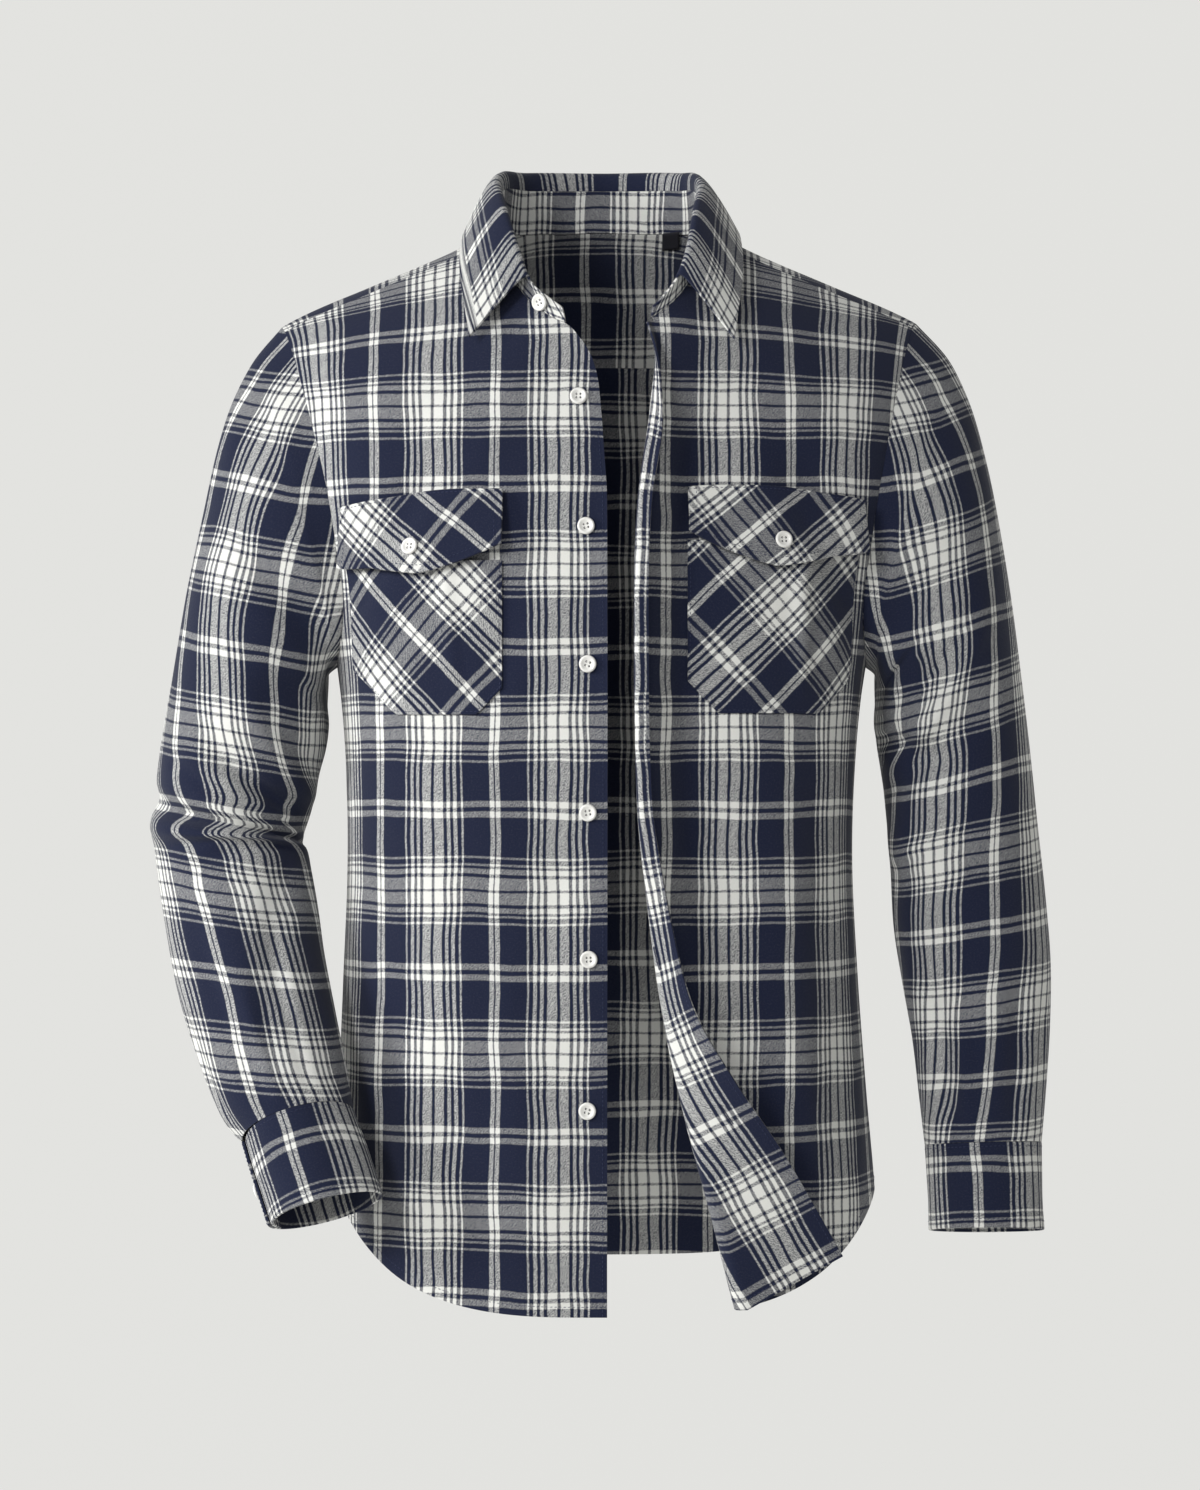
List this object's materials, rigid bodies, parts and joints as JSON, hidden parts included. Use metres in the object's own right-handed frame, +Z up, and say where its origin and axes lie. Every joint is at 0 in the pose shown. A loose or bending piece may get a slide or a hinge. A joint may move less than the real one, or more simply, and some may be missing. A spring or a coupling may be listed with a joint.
{
  "type": "flannel shirt",
  "caption": "Long-sleeved checked flannel shirt in navy and white, worn open and filled out with no wearer, with a turned-down collar and buttoned flap pockets.",
  "frame": {"origin": "middle of the neck opening, level with the tops of the shoulders", "axes": "+Z up along the body, -Y out of the chest, +X towards the wearer's left"},
  "size_m": [0.6271, 0.2611, 0.7946],
  "materials": {
    "flannel": "matte",
    "label_cloth": "matte",
    "button_white": "gloss"
  },
  "bodies": {
    "root": {"right_front": "flannel", "left_front": "flannel", "left_front_facing": "flannel", "back": "flannel", "yoke": "flannel", "sleeve_right": "flannel", "sleeve_right_forearm": "flannel", "sleeve_left": "flannel", "cuff_right": "flannel", "cuff_left": "flannel", "placket_right": "flannel", "placket_left": "flannel", "collar_stand": "flannel", "collar_leaf": "flannel", "pocket_right": "flannel", "pocket_left": "flannel", "pocket_flap_right": "flannel", "pocket_flap_left": "flannel", "neck_label": "label_cloth", "button_front_1": "button_white", "button_front_2": "button_white", "button_front_3": "button_white", "button_front_4": "button_white", "button_front_5": "button_white", "button_front_6": "button_white", "button_flap_right": "button_white", "button_flap_left": "button_white", "button_stand": "button_white", "button_cuff_right": "button_white", "button_cuff_left": "button_white"}
  },
  "joints": []
}
